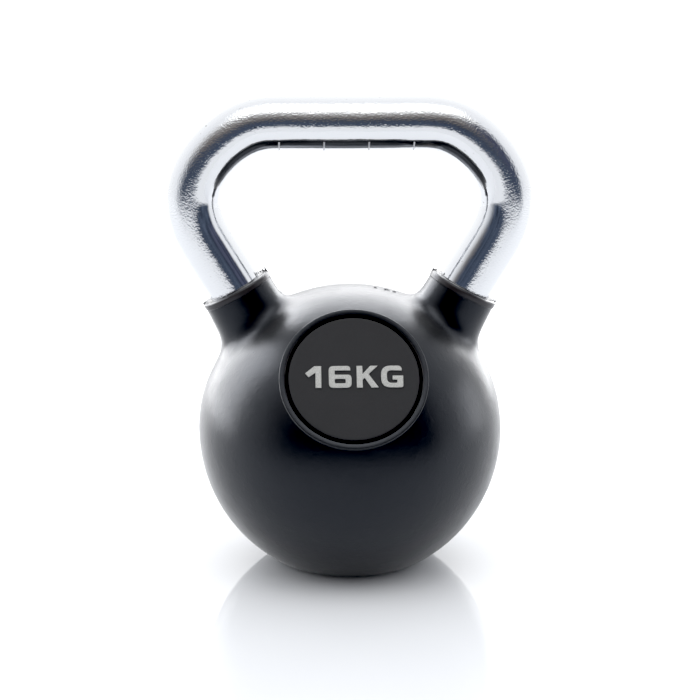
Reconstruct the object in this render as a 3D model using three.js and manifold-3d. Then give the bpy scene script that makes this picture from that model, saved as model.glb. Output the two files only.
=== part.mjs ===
// A rubber-coated kettlebell with a chromed bar handle, in millimetres, +Z up.
// The origin is on the floor, under the centre of the ball. The badge faces -Y.
// Pieces: a cast-iron core, a bent steel bar set in two angled sockets, a weld bead round each leg,
// a moulded rubber jacket over them, and a glued badge with raised characters.

import * as THREE from 'three';
import { mergeVertices } from 'three/addons/utils/BufferGeometryUtils.js';
import Module from 'manifold-3d';

// ---- Driving dimensions, in mm ----

const GAP = 0.3; // clearance between neighbouring pieces

const BALL_RADIUS = 85; // of the rubber surface, at the sides and below
const CROWN_HEIGHT = 81.5; // from the ball's centre to its slightly flattened top
const CENTRE_HEIGHT = 75; // of the ball's centre over the floor, which sets the size of the flat base
const RUBBER_THICKNESS = 7.5; // over the core
const BASE_RUBBER = 5; // under the core

const BAR_RADIUS = 14.8;
const HANDLE_TOP = 246.5; // height of the grip's centreline
const GRIP_HALF = 44.5; // half of the straight grip's length
const HANDLE_HALF_WIDTH = 86; // from the middle to the centreline, where the handle is widest
const SHOULDER_DROP = 41.5; // from the grip's centreline down to the widest point
const SHOULDER_FULLNESS = 0.45; // 0.55 is a quarter circle, and less is a flatter shoulder
const LEG_TILT = THREE.MathUtils.degToRad(31); // of each leg, from the vertical
const SOCKET_DEPTH = 26; // of bar inside the iron

const COLLAR_RADIUS = 20.1; // of the rubber collar's lip, where it is widest
const COLLAR_TILT = THREE.MathUtils.degToRad(28); // of the collar's axis, from the vertical
const COLLAR_TOP = 156.5; // height of the rim's centre
const LIP_HEIGHT = 3.6;
const LIP_STEP = 0.6; // how far the lip stands out from the collar's neck
const LIP_ROUNDING = 1.6; // of the lip's top outer edge
const DISH_DEPTH = 2.2; // of the rim's face, which slopes down to the bar
const DISH_WIDTH = 2.8;
const COLLAR_ROOT = 52; // how far the collar's solid goes down inside the ball

const WELD_WIDTH = 5;
const WELD_HEIGHT = 6;

const BADGE_LATITUDE = THREE.MathUtils.degToRad(35.3); // of the badge's axis, over the ball's equator
const BEZEL_HEIGHT = 77.6; // from the ball's centre to the bezel's face, along the badge's axis
const BEZEL_OUTER_RADIUS = 39.6;
const BEZEL_INNER_RADIUS = 36.2;
const BEZEL_ROUNDING = 1;
const BEZEL_ROOT = 40; // where the boss under the bezel starts, inside the ball
const BADGE_RADIUS = 34;
const BADGE_THICKNESS = 2.4;
const BADGE_CHAMFER = 0.6;
const BADGE_RECESS = 0.4; // from the bezel's face down to the badge's face
const ADHESIVE_RADIUS = 31;
const ADHESIVE_THICKNESS = 0.6;
const SEAT_RUBBER = 3; // under the badge, over the flat seat on the core

const GLYPH_HEIGHT = 12.2;
const GLYPH_THICKNESS = 0.7;
const GLYPH_STROKE = 3.1;
const GLYPH_MIDDLE_Y = 0.6; // height of the row's middle over the badge's centre

const BALL_SEGMENTS = 44;
const CORE_SEGMENTS = 28;
const ROUND_SEGMENTS = 28;
const BAR_SEGMENTS = 12;
const BAR_STEPS = 40;

// ---- Worked-out places ----

const ballCentre = new THREE.Vector3(0, 0, CENTRE_HEIGHT);
const badgeFace = BEZEL_HEIGHT - BADGE_RECESS;
const badgeBack = badgeFace - BADGE_THICKNESS;
const adhesiveFace = badgeBack - GAP;
const adhesiveBack = adhesiveFace - ADHESIVE_THICKNESS;
const pocketFloor = adhesiveBack - GAP;
const coreSeat = pocketFloor - SEAT_RUBBER;
const SIDES = { left: -1, right: 1 };

// ---- Materials ----

const finishes = {
  iron: { color: 0x3b3a38, roughness: 0.8, metalness: 0.9 },
  chrome: { color: 0xdfe3e6, roughness: 0.08, metalness: 1 },
  weld: { color: 0x6d6a66, roughness: 0.6, metalness: 1 },
  rubber: { color: 0x131416, roughness: 0.42, metalness: 0 },
  badge: { color: 0x1f2022, roughness: 0.75, metalness: 0 },
  adhesive: { color: 0xb9b19a, roughness: 0.5, metalness: 0 },
  character: { color: 0xb9bab5, roughness: 0.5, metalness: 0 },
};

function piece(name, geometry, finish) {
  const mesh = new THREE.Mesh(geometry, new THREE.MeshStandardMaterial(finishes[finish]));
  mesh.name = name;
  return mesh;
}

// ---- Solids and cuts ----

const wasm = await Module();
wasm.setup();

// A closed geometry as a solid that can be joined and cut. Triangles that have collapsed, as at a lathe's
// poles, are left out.
function solid(source) {
  const bare = source.clone();
  bare.deleteAttribute('normal');
  bare.deleteAttribute('uv');
  const merged = mergeVertices(bare, 1e-4);
  const index = merged.index.array;
  const triVerts = [];
  for (let i = 0; i < index.length; i += 3) {
    const [a, b, c] = [index[i], index[i + 1], index[i + 2]];
    if (a !== b && b !== c && c !== a) {
      triVerts.push(a, b, c);
    }
  }
  return new wasm.Manifold(new wasm.Mesh({
    numProp: 3,
    vertProperties: new Float32Array(merged.attributes.position.array),
    triVerts: new Uint32Array(triVerts),
  }));
}

function geometryOf(manifold) {
  const mesh = manifold.getMesh();
  const geometry = new THREE.BufferGeometry();
  geometry.setAttribute('position', new THREE.BufferAttribute(mesh.vertProperties, 3));
  geometry.setIndex(new THREE.BufferAttribute(mesh.triVerts, 1));
  geometry.computeVertexNormals();
  return geometry;
}

// A solid of revolution about +Z, from [radius, height] points that close on the axis or on themselves.
function turned(points, segments) {
  const profile = points.map(([radius, height]) => new THREE.Vector2(radius, height));
  return new THREE.LatheGeometry(profile, segments).rotateX(Math.PI / 2);
}

function disc(radius, bottom, top, segments = ROUND_SEGMENTS) {
  return turned([[0, bottom], [radius, bottom], [radius, top], [0, top]], segments);
}

// A placement whose +Z runs up the leg's or the collar's axis, from the rim's centre on that side.
function rimPlacement(side, tilt) {
  const placement = new THREE.Matrix4().makeRotationY(side * tilt);
  return placement.setPosition(side * rimX, 0, COLLAR_TOP);
}

// A placement whose +Z is the badge's outward axis, from the ball's centre. +Y is up the badge.
function badgePlacement() {
  return new THREE.Matrix4().makeRotationX(Math.PI / 2 - BADGE_LATITUDE).setPosition(ballCentre);
}

// ---- Handle centreline ----

// The straight grip, a flattened shoulder down to the widest point, an arc that turns in by the leg's
// tilt, and the straight leg into its socket. It is drawn for the right side and mirrored for the left.
const tuckRadius = SHOULDER_DROP;
const tuckX = HANDLE_HALF_WIDTH - tuckRadius * (1 - Math.cos(LEG_TILT));
const tuckZ = HANDLE_TOP - SHOULDER_DROP - tuckRadius * Math.sin(LEG_TILT);
const rimX = tuckX - (tuckZ - COLLAR_TOP) * Math.tan(LEG_TILT);
const legDirection = new THREE.Vector2(-Math.sin(LEG_TILT), -Math.cos(LEG_TILT));
const coreRadius = BALL_RADIUS - RUBBER_THICKNESS;
const coreCrown = CROWN_HEIGHT - RUBBER_THICKNESS;

// How far down the leg's axis the iron's surface is, from the rim's centre.
function distanceToIron() {
  const step = 0.05;
  let distance = 0;
  let level = 2;
  while (level > 1) {
    distance += step;
    const x = rimX + legDirection.x * distance;
    const z = COLLAR_TOP - CENTRE_HEIGHT + legDirection.y * distance;
    level = (x / coreRadius) ** 2 + (z / coreCrown) ** 2;
  }
  return distance;
}

const ironDistance = distanceToIron();
const spotFaceDistance = ironDistance + 3;
const legEndDistance = spotFaceDistance + SOCKET_DEPTH;

function handlePath() {
  const widest = new THREE.Vector3(HANDLE_HALF_WIDTH, 0, HANDLE_TOP - SHOULDER_DROP);
  const gripEnd = new THREE.Vector3(GRIP_HALF, 0, HANDLE_TOP);
  const shoulderPull = SHOULDER_DROP * SHOULDER_FULLNESS;
  const tuckPull = (4 / 3) * Math.tan(LEG_TILT / 4) * tuckRadius;
  const tuckEnd = new THREE.Vector3(tuckX, 0, tuckZ);
  const legEnd = new THREE.Vector3(
    rimX + legDirection.x * legEndDistance, 0, COLLAR_TOP + legDirection.y * legEndDistance);
  const rightCurves = [
    [gripEnd, gripEnd.clone().setX(GRIP_HALF + shoulderPull),
      widest.clone().setZ(widest.z + shoulderPull), widest],
    [widest, widest.clone().setZ(widest.z - tuckPull),
      new THREE.Vector3(tuckX - legDirection.x * tuckPull, 0, tuckZ - legDirection.y * tuckPull), tuckEnd],
  ];
  const mirrored = (point) => new THREE.Vector3(-point.x, point.y, point.z);
  const path = new THREE.CurvePath();
  path.add(new THREE.LineCurve3(mirrored(legEnd), mirrored(tuckEnd)));
  for (const points of [...rightCurves].reverse()) {
    path.add(new THREE.CubicBezierCurve3(...points.map(mirrored).reverse()));
  }
  path.add(new THREE.LineCurve3(mirrored(gripEnd), gripEnd));
  for (const points of rightCurves) {
    path.add(new THREE.CubicBezierCurve3(...points));
  }
  path.add(new THREE.LineCurve3(tuckEnd, legEnd));
  return path;
}

function bar(radius) {
  const section = new THREE.Shape();
  section.absarc(0, 0, radius, 0, 2 * Math.PI);
  return new THREE.ExtrudeGeometry(section, {
    steps: BAR_STEPS,
    curveSegments: BAR_SEGMENTS,
    bevelEnabled: false,
    extrudePath: handlePath(),
  });
}

// ---- Core ----

// The ball's outline from its flat base to its crown, set in by inset, with the base at the given height.
function ballOutline(inset, baseHeight, rings) {
  const radius = BALL_RADIUS - inset;
  const crown = CROWN_HEIGHT - inset;
  const baseAngle = Math.asin((baseHeight - CENTRE_HEIGHT) / radius);
  const points = [[0, baseHeight]];
  for (let ring = 0; ring < rings; ring += 1) {
    const angle = baseAngle + (ring / rings) * (Math.PI / 2 - baseAngle);
    const rise = angle > 0 ? crown : radius;
    points.push([radius * Math.cos(angle), CENTRE_HEIGHT + rise * Math.sin(angle)]);
  }
  points.push([0, CENTRE_HEIGHT + crown]);
  return points;
}

// The core's own shape, without its sockets, grown outwards by grow so that the jacket can clear it.
function coreBlank(grow) {
  const ball = turned(ballOutline(RUBBER_THICKNESS - grow, BASE_RUBBER - grow, 10), CORE_SEGMENTS);
  const seat = disc(BALL_RADIUS, coreSeat + grow, BALL_RADIUS + 10);
  return solid(ball).subtract(solid(seat.applyMatrix4(badgePlacement())));
}

// The room over each socket's spot face, for the weld bead.
function spotFaceCut(side, grow) {
  const radius = BAR_RADIUS + WELD_WIDTH + 2 - grow;
  const cut = disc(radius, -spotFaceDistance + grow, 0);
  return solid(cut.applyMatrix4(rimPlacement(side, LEG_TILT)));
}

function ironCore() {
  let core = coreBlank(0);
  for (const side of Object.values(SIDES)) {
    const socket = disc(BAR_RADIUS + GAP, -legEndDistance - GAP, 0, 2 * BAR_SEGMENTS);
    core = core.subtract(solid(socket.applyMatrix4(rimPlacement(side, LEG_TILT))));
    core = core.subtract(spotFaceCut(side, 0));
  }
  return geometryOf(core);
}

// ---- Weld beads ----

// A fillet weld's section, turned about the leg: tall against the bar and wide against the iron. It is
// grown outwards by grow so that the jacket can clear it.
function weldOutline(grow) {
  const inner = BAR_RADIUS + GAP - grow;
  const outer = BAR_RADIUS + GAP + WELD_WIDTH + grow;
  return [
    [inner, -grow],
    [outer, -grow],
    [outer - 0.5, 0.4 * WELD_HEIGHT + grow],
    [outer - 0.5 * WELD_WIDTH, 0.9 * WELD_HEIGHT + grow],
    [inner, WELD_HEIGHT + grow],
    [inner, -grow],
  ];
}

function weldBead(grow, side) {
  const bead = turned(weldOutline(grow), ROUND_SEGMENTS);
  bead.translate(0, 0, -spotFaceDistance + GAP);
  return bead.applyMatrix4(rimPlacement(side, LEG_TILT));
}

// ---- Rubber jacket ----

// A collar's outline, with heights measured from its rim: lip, step, neck, and a flare into the ball.
function collarOutline() {
  const neck = COLLAR_RADIUS - LIP_STEP;
  return [
    [0, -COLLAR_ROOT],
    [34, -COLLAR_ROOT],
    [31, -35],
    [25.5, -29],
    [22.4, -23.5],
    [20.9, -17],
    [neck + 0.3, -10],
    [neck, -LIP_HEIGHT - 0.6],
    [COLLAR_RADIUS, -LIP_HEIGHT],
    [COLLAR_RADIUS, -LIP_ROUNDING],
    [COLLAR_RADIUS - 0.3 * LIP_ROUNDING, -0.3 * LIP_ROUNDING],
    [COLLAR_RADIUS - LIP_ROUNDING, 0],
    [0, 0],
  ];
}

function collar(side) {
  return solid(turned(collarOutline(), ROUND_SEGMENTS).applyMatrix4(rimPlacement(side, COLLAR_TILT)));
}

// What the rim's dished face leaves out of the collar.
function rimDish(side) {
  const outline = [
    [0, -DISH_DEPTH],
    [BAR_RADIUS + GAP, -DISH_DEPTH],
    [BAR_RADIUS + DISH_WIDTH, 0],
    [BAR_RADIUS + DISH_WIDTH, DISH_DEPTH],
    [0, DISH_DEPTH],
  ];
  return solid(turned(outline, ROUND_SEGMENTS).applyMatrix4(rimPlacement(side, COLLAR_TILT)));
}

// The raised round boss whose rim is the badge's bezel.
function bezelBoss() {
  const outline = [
    [0, BEZEL_ROOT],
    [BEZEL_OUTER_RADIUS, BEZEL_ROOT],
    [BEZEL_OUTER_RADIUS, BEZEL_HEIGHT - BEZEL_ROUNDING],
    [BEZEL_OUTER_RADIUS - BEZEL_ROUNDING, BEZEL_HEIGHT],
    [0, BEZEL_HEIGHT],
  ];
  return solid(turned(outline, BALL_SEGMENTS).applyMatrix4(badgePlacement()));
}

// The badge's pocket, with everything over the bezel's face cleared away.
function badgePocket() {
  const outline = [
    [0, pocketFloor],
    [BEZEL_INNER_RADIUS, pocketFloor],
    [BEZEL_INNER_RADIUS, BEZEL_HEIGHT],
    [BEZEL_OUTER_RADIUS + 2, BEZEL_HEIGHT],
    [BEZEL_OUTER_RADIUS + 2, BALL_RADIUS + 15],
    [0, BALL_RADIUS + 15],
  ];
  return solid(turned(outline, BALL_SEGMENTS).applyMatrix4(badgePlacement()));
}

function rubberJacket() {
  let jacket = solid(turned(ballOutline(0, 0, 17), BALL_SEGMENTS));
  let filling = coreBlank(GAP);
  for (const side of Object.values(SIDES)) {
    jacket = jacket.add(collar(side));
    jacket = jacket.subtract(rimDish(side));
    filling = filling.subtract(spotFaceCut(side, GAP));
  }
  jacket = jacket.add(bezelBoss());
  jacket = jacket.subtract(badgePocket());
  filling = filling.add(solid(bar(BAR_RADIUS + GAP)));
  for (const side of Object.values(SIDES)) {
    filling = filling.add(solid(weldBead(GAP, side)));
  }
  return geometryOf(jacket.subtract(filling));
}

// ---- Badge ----

function badgePlate() {
  return turned([
    [0, badgeBack],
    [BADGE_RADIUS, badgeBack],
    [BADGE_RADIUS, badgeFace - BADGE_CHAMFER],
    [BADGE_RADIUS - BADGE_CHAMFER, badgeFace],
    [0, badgeFace],
  ], BALL_SEGMENTS);
}

// A closed outline through [x, y, corner radius] points, each corner rounded by its radius.
function outlined(points, target = new THREE.Shape()) {
  const corners = points.map(([x, y, radius = 0]) => ({ at: new THREE.Vector2(x, y), radius }));
  corners.forEach((corner, i) => {
    const before = corners[(i + corners.length - 1) % corners.length].at;
    const after = corners[(i + 1) % corners.length].at;
    const start = before.clone().sub(corner.at).setLength(corner.radius).add(corner.at);
    const end = after.clone().sub(corner.at).setLength(corner.radius).add(corner.at);
    if (i === 0) {
      target.moveTo(start.x, start.y);
    } else {
      target.lineTo(start.x, start.y);
    }
    if (corner.radius > 0) {
      target.quadraticCurveTo(corner.at.x, corner.at.y, end.x, end.y);
    }
  });
  target.closePath();
  return target;
}

// Plain block characters on one stroke width. Each starts at x = 0 and stands on y = 0.
const H = GLYPH_HEIGHT;
const S = GLYPH_STROKE;

function digitOne() {
  return outlined([
    [6, 0], [6 + S, 0], [6 + S, H], [5.2, H], [0, H - 4], [1.9, H - 6.2], [6, H - 3.4],
  ]);
}

function digitSix() {
  const width = 12.2;
  const waist = 0.6 * H; // top of the bowl
  const six = outlined([
    [0, 0, 2.6], [width, 0, 2.6], [width, waist, 2.2], [S, waist], [S, H - 0.8 * S],
    [width - 0.6, H - 0.8 * S], [width - 0.6, H, 1.8], [0, H, 2.6],
  ]);
  six.holes.push(outlined([
    [S, 0.8 * S, 0.8], [S, waist - 0.75 * S, 0.8], [width - S, waist - 0.75 * S, 0.8],
    [width - S, 0.8 * S, 0.8],
  ], new THREE.Path()));
  return six;
}

function letterK() {
  const width = 11.8;
  const arm = 1.25 * S; // horizontal width of a slanted arm
  return outlined([
    [0, 0], [S, 0], [S, 0.36 * H], [S + 1.1, 0.45 * H], [width - arm, 0], [width, 0],
    [S + 3.2, 0.62 * H], [width - 0.4, H], [width - 0.4 - arm, H], [S, 0.62 * H], [S, H], [0, H],
  ]);
}

function letterG() {
  const width = 12;
  const bar = 0.56 * H; // top of the crossbar
  return outlined([
    [0, 0, 4], [width, 0, 0.8], [width, bar], [0.5 * width, bar], [0.5 * width, bar - 0.75 * S],
    [width - S, bar - 0.75 * S], [width - S, 0.8 * S, 0.6], [S, 0.8 * S, 2], [S, H - 0.8 * S, 2],
    [width - 0.8, H - 0.8 * S], [width - 0.8, H, 2.2], [0, H, 4],
  ]);
}

// The row of characters, each with the place of its left edge from the badge's centre.
const CHARACTERS = [
  { name: 'digit_1', shape: digitOne(), left: -25.6 },
  { name: 'digit_6', shape: digitSix(), left: -13.2 },
  { name: 'letter_k', shape: letterK(), left: 1.4 },
  { name: 'letter_g', shape: letterG(), left: 14.2 },
];

function character(shape, left) {
  const glyph = new THREE.ExtrudeGeometry(shape, {
    depth: GLYPH_THICKNESS,
    curveSegments: 4,
    bevelEnabled: false,
  });
  return glyph.translate(left, GLYPH_MIDDLE_Y - GLYPH_HEIGHT / 2, badgeFace + GAP);
}

function badgeGroup() {
  const badge = new THREE.Group();
  badge.applyMatrix4(badgePlacement());
  badge.add(piece('badge', badgePlate(), 'badge'));
  badge.add(piece('badge_adhesive', disc(ADHESIVE_RADIUS, adhesiveBack, adhesiveFace), 'adhesive'));
  for (const { name, shape, left } of CHARACTERS) {
    badge.add(piece(name, character(shape, left), 'character'));
  }
  return badge;
}

// ---- Assembly ----

const kettlebell = new THREE.Group();
kettlebell.add(piece('iron_core', ironCore(), 'iron'));
kettlebell.add(piece('chrome_handle', bar(BAR_RADIUS), 'chrome'));
for (const [name, side] of Object.entries(SIDES)) {
  kettlebell.add(piece(`${name}_weld_bead`, weldBead(0, side), 'weld'));
}
kettlebell.add(piece('rubber_jacket', rubberJacket(), 'rubber'));
kettlebell.add(badgeGroup());

export default kettlebell;
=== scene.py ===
"""A rubber-coated kettlebell with a chromed bar handle, on a glossy pale floor.

The CAD frame gives the places and sizes. This script makes the fine surfaces round it: the moulded rubber
jacket from a distance field, the bent bar as a sweep, the badge and its raised characters, and the
procedural materials. Lengths in the dimensions below are in millimetres, as in the CAD; MM turns them into
the scene's metres.
"""

import math

import bmesh
import bpy
import numpy as np
from mathutils import Matrix, Vector


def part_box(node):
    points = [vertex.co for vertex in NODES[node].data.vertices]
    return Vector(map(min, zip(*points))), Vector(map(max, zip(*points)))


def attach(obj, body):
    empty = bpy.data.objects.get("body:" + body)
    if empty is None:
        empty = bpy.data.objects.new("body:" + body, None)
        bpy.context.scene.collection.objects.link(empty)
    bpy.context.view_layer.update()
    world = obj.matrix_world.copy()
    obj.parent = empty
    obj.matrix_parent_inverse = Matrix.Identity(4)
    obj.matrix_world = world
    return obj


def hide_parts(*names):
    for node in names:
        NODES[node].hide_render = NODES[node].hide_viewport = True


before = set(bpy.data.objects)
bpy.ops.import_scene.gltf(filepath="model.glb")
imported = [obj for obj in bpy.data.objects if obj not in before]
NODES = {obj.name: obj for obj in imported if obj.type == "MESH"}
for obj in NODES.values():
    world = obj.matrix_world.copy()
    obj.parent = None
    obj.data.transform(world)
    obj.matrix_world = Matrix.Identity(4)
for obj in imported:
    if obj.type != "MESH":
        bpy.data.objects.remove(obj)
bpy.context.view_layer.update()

MM = 0.001

# ---- Dimensions, in mm, from the frame where it has them ----

jacket_low, jacket_high = (np.array(corner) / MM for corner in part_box("rubber_jacket"))
handle_low, handle_high = (np.array(corner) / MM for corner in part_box("chrome_handle"))

BALL_RADIUS = (jacket_high[0] - jacket_low[0]) / 2
CROWN_HEIGHT = 81.5  # from the ball's centre to its top
CENTRE_HEIGHT = 75.0  # of the ball's centre above the floor
BASE_ROUNDING = 2.5  # round the flat that the jacket stands on
GAP = 0.3  # of clearance between neighbouring pieces

BAR_RADIUS = (handle_high[1] - handle_low[1]) / 2
HANDLE_TOP = handle_high[2] - BAR_RADIUS  # of the bar's axis, as are the sizes below
HANDLE_HALF_WIDTH = 86.0
GRIP_HALF = 44.5
SHOULDER_DROP = 41.5  # from the grip down to the handle's widest place
SHOULDER_FULLNESS = 0.45  # share of the drop that the shoulder's tangents reach
BEND_SOFTNESS = 5.0  # length over which a bend starts or stops
LEG_TILT = math.radians(31)
LEG_END_HEIGHT = handle_low[2] + BAR_RADIUS * math.sin(LEG_TILT)
BAR_STEP = 1.0  # between the rings of the bar's mesh

COLLAR_RADIUS = 20.1
COLLAR_TILT = math.radians(28)
COLLAR_TOP = 156.5
COLLAR_LENGTH = 60.0  # from the rim down into the ball
NECK_TAPER = 0.045  # by which a collar's neck widens on its way down
LIP_HEIGHT = 3.6
LIP_STEP = 0.7
LIP_ROUNDING = 1.3  # of the rim's outer edge
LIP_UNDERCUT_ROUNDING = 0.5
LIP_FILLET = 0.25
DISH_DEPTH = 2.2  # of the rim's face, which slopes down to the bar
DISH_WIDTH = 2.8
COLLAR_BLEND = 13.0  # reach of the fillet between a collar and the ball

BADGE_LATITUDE = math.radians(35.3)
BEZEL_HEIGHT = 77.6  # from the ball's centre, along the badge's axis
BEZEL_OUTER_RADIUS = 39.3
BEZEL_INNER_RADIUS = 36.5
BEZEL_ROUNDING = 0.5  # of its outer edge
BEZEL_SOFTENING = 0.4  # of its inner edge
BEZEL_ROOT = 45.0  # inside the ball
GROOVE_DEPTH = 3.0  # round the badge, under the pocket's floor
BADGE_RADIUS = 34.5
BADGE_THICKNESS = 2.4
BADGE_ROUNDING = 0.6
BADGE_RECESS = 0.4
BADGE_FACE = BEZEL_HEIGHT - BADGE_RECESS
ADHESIVE_THICKNESS = 0.6
POCKET_FLOOR = BADGE_FACE - BADGE_THICKNESS - GAP - ADHESIVE_THICKNESS - GAP
GLYPH_HEIGHT = 12.2
GLYPH_THICKNESS = 0.7
GLYPH_STROKE = 3.1
GLYPH_BEVEL = 0.18
GLYPH_MIDDLE = 0.6  # of the characters' height, above the badge's centre

SEAM_HEIGHT = 0.32  # of the mould's parting line
SEAM_WIDTH = 0.3
FLASH_THICKNESS = 0.5  # of the torn rubber left standing on it
FLASH_FOOT = 1.5  # how deep a scrap of it reaches under the surface
INNER_FLASH = {-1: (2.8, 3.0), 1: (1.6, 2.2)}  # half width and height, on each rim's inner side
OUTER_FLASH = (1.3, 1.6)  # the same, on the outer side of both rims
OUTER_FLASH_INSET = 1.4  # of its middle from the collar's outside
CROWN_FLASH = ((14, 0.8), (20.5, 1.6), (24.5, 0.9))  # x of each fleck on the crown, and half its width
CROWN_FLASH_HEIGHT = 1.1

STREAK_SPACING = 24.3  # of the pale streaks across the underside of the grip, a painted reflection
STREAK_SHARE = 0.035  # of the spacing that a painted streak takes up
STREAK_START = -39.0  # x of one of them
STREAK_LIMITS = (-45.0, 56.0)  # x between which they lie
STREAK_FACING = -0.6  # how far down the surface has to look to carry a painted streak, from 0 to -1
HOOP_MIDDLE = np.array([0, 0, 170.0])  # from which the hoop's outer and inner sides are told apart

TOOL_HUB = 0.5  # radius of a turned tool's first and last ring, which flat faces close
SIDES = (-1, 1)
chance = np.random.default_rng(5)

# ---- Light, with angles in degrees ----

CAMERA_WHITE = (1.2, 1.2, 1.2, 1)  # of the world as the camera sees it
FRONT_WALL = (1.04, 1.06, 1.10, 1)
BACK_WALL = (1.28, 1.29, 1.31, 1)
OVERHEAD = (2.3, 2.3, 2.28, 1)
OVERHEAD_RISE = (56, 68)  # elevations where it begins and is full
ROOM = (0.085, 0.105, 0.15, 1)
ROOM_LEFT = (-86, -46)  # azimuths where the room begins and is full
ROOM_RIGHT = (74, 62)
ROOM_FOOT = (-11, -6)  # elevations where it begins and is full
ROOM_LAYERS = (  # elevations where a layer's colour begins and is full, from low to high
    (14, 24, (0.17, 0.155, 0.15, 1)),
    (24, 34, (0.32, 0.30, 0.29, 1)),
    (34, 44, (0.55, 0.55, 0.55, 1)),
    (43, 50, (0.95, 0.95, 0.95, 1)),
    (50, 60, OVERHEAD),
)
CORNER = (0.09, 0.10, 0.15, 1)  # of the room, on its right
CORNER_LEFT = (30, 40)  # azimuths where the corner begins and is full
CORNER_FOOT = (4, 14)  # and elevations, at its foot and at its top
CORNER_TOP = (46, 36)
BLACK_LEVEL = 0.014  # of the view curve, which deepens the shadows

# Name, azimuth, elevation, width and height as angles, and radiance
RUBBER_LIGHTS = (
    ("left_softbox", -125, 20, (54, 60), 4.7),
    ("right_softbox", 104, 2, (22, 34), 2.0),
    ("far_right_softbox", 148, 6, (28, 40), 3.5),
    ("back_softbox", 180, 42, (80, 44), 4.3),
)
# The same, and whether mirror reflections show it
FLOOR_LIGHTS = (
    ("left_table_light", -85, 24, (60, 44), 1.5, False),
    ("right_table_light", 85, 24, (60, 44), 1.5, False),
    ("back_table_light", 180, 30, (80, 50), 1.0, True),
)

# ---- Handle centreline, in the XZ plane ----


def bezier(points, count):
    """Samples of a cubic Bezier without its last point."""
    t = np.linspace(0, 1, count, endpoint=False)[:, None]
    a, b, c, d = (np.array(p, float) for p in points)
    return a * (1 - t) ** 3 + 3 * b * t * (1 - t) ** 2 + 3 * c * t**2 * (1 - t) + d * t**3


def centreline():
    """The bar's axis from the left leg's end to the right leg's, as points in x and z.

    The turning is smoothed along the bar, so that its bends start and stop without a break in the
    reflections.
    """
    lean = np.array([-math.sin(LEG_TILT), -math.cos(LEG_TILT)])
    grip_end = np.array([GRIP_HALF, HANDLE_TOP])
    widest = np.array([HANDLE_HALF_WIDTH, HANDLE_TOP - SHOULDER_DROP])
    pull = SHOULDER_DROP * SHOULDER_FULLNESS
    tuck_pull = 4 / 3 * math.tan(LEG_TILT / 4) * SHOULDER_DROP
    tuck_end = widest - SHOULDER_DROP * np.array([1 - math.cos(LEG_TILT), math.sin(LEG_TILT)])
    leg_end = tuck_end + lean * (tuck_end[1] - LEG_END_HEIGHT) / math.cos(LEG_TILT)
    up = np.array([0.0, 1.0])
    right = np.array([1.0, 0.0])
    half = np.vstack([
        np.array([[0.0, HANDLE_TOP]]),
        bezier([grip_end, grip_end + right * pull, widest + up * pull, widest], count=200),
        bezier([widest, widest - up * tuck_pull, tuck_end - lean * tuck_pull, tuck_end], count=100),
        tuck_end[None],
        leg_end[None],
    ])
    run = np.r_[0, np.cumsum(np.linalg.norm(np.diff(half, axis=0), axis=1))]
    count = int(run[-1] / BAR_STEP) + 1
    along = np.linspace(0, run[-1], count)
    even = np.c_[np.interp(along, run, half[:, 0]), np.interp(along, run, half[:, 1])]
    spacing = along[1]
    heading = np.unwrap(np.arctan2(*np.diff(even, axis=0).T[::-1]))
    reach = int(4 * BEND_SOFTNESS / spacing)
    kernel = np.exp(-0.5 * (np.arange(-reach, reach + 1) * spacing / BEND_SOFTNESS) ** 2)
    kernel /= kernel.sum()
    padded = np.r_[-heading[:reach][::-1], heading, np.full(reach, heading[-1])]
    heading = np.convolve(padded, kernel, mode="valid")
    steps = spacing * np.c_[np.cos(heading), np.sin(heading)]
    smooth = np.vstack([[0.0, HANDLE_TOP], [0.0, HANDLE_TOP] + np.cumsum(steps, axis=0)])
    smooth += (even[-1] - smooth[-1]) * (along / along[-1])[:, None]
    return np.vstack([smooth[:0:-1] * [-1, 1], smooth])


# ---- Distance field of the jacket's outside, in mm ----


def smooth_union(a, b, reach):
    """Union whose fillet begins where the two surfaces are within reach, with continuous curvature."""
    h = np.maximum(reach - np.abs(a - b), 0) / reach
    return np.minimum(a, b) - h**3 * reach / 6


def fillet_union(a, b, radius):
    """Union with a round fillet of that radius."""
    u = np.maximum(radius - a, 0)
    v = np.maximum(radius - b, 0)
    return np.maximum(radius, np.minimum(a, b)) - np.hypot(u, v)


def rounded_intersection(a, b, radius):
    """Intersection whose outer edge is rounded by that radius."""
    u = np.maximum(radius + a, 0)
    v = np.maximum(radius + b, 0)
    return np.minimum(-radius, np.maximum(a, b)) + np.hypot(u, v)


def ball_distance(p):
    """Sphere below the centre, flattened ellipsoid above it."""
    x, y, z = p[:, 0], p[:, 1], p[:, 2] - CENTRE_HEIGHT
    rise = np.where(z > 0, CROWN_HEIGHT, BALL_RADIUS)
    level = np.sqrt((x**2 + y**2) / BALL_RADIUS**2 + z**2 / rise**2) + 1e-9
    slope = np.sqrt((x**2 + y**2) / BALL_RADIUS**4 + z**2 / rise**4) + 1e-9
    return level * (level - 1) / slope


def axis_frame(p, origin, axis):
    """Distance along an axis from its origin, and out from it."""
    offset = p - origin
    along = offset @ axis
    across = np.sqrt(np.maximum((offset**2).sum(1) - along**2, 0))
    return along, across


def rim_frame(p, side):
    """Depth under the collar's rim on that side, and distance out from the collar's axis."""
    axis = np.array([side * math.sin(COLLAR_TILT), 0, math.cos(COLLAR_TILT)])
    rise, across = axis_frame(p, rim_centre(side), axis)
    return -rise, across


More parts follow.
